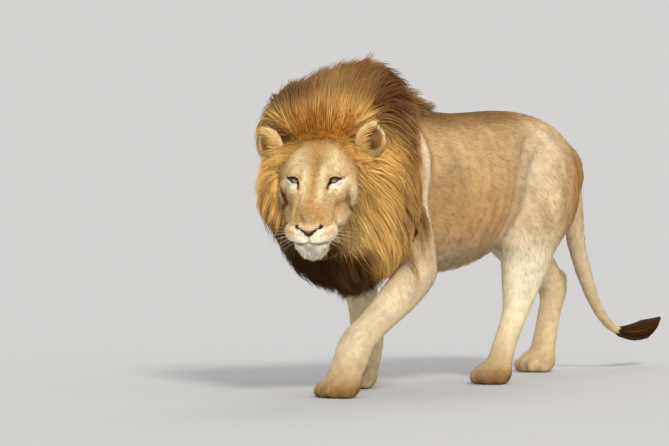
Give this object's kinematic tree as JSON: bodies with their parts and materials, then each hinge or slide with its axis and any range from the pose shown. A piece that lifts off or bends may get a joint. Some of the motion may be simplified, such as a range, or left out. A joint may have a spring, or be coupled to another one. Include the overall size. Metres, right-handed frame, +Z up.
{
  "type": "male lion",
  "caption": "Walking adult male lion, life size, as a still model: head turned to its left, full mane, low stride, tail hanging behind.",
  "frame": {"origin": "centre of the bounding box's bottom face, on the floor the paws stand on", "axes": "the lion faces -Y, +Y towards the tail; +X is the lion's own left; +Z up"},
  "size_m": [0.4974, 2.2192, 1.0289],
  "materials": {
    "ear": "short fur with a pale rim",
    "eye": "wet pale yellow-brown eye with a black pupil",
    "coat": "short tawny fur, sandy on the flanks and paler on the legs",
    "face": "short pale fur with a ginger nose bridge",
    "chin": "short cream fur",
    "mane": "long hair, golden round the face and dark brown on crown, neck and chest",
    "nose": "bare damp pinkish brown skin, dark at the nostrils",
    "tuft": "dark brown long hair"
  },
  "bodies": {
    "root": {"ear_left": "ear", "ear_right": "ear", "eye_left": "eye", "eye_right": "eye", "forearm_left": "coat", "forearm_right": "coat", "forepaw_left": "coat", "forepaw_right": "coat", "head": "face", "hind_paw_left": "coat", "hind_paw_right": "coat", "jaw": "chin", "mane": "mane", "nose": "nose", "shank_left": "coat", "shank_right": "coat", "tail": "coat", "tail_tuft": "tuft", "trunk": "coat"}
  },
  "joints": []
}
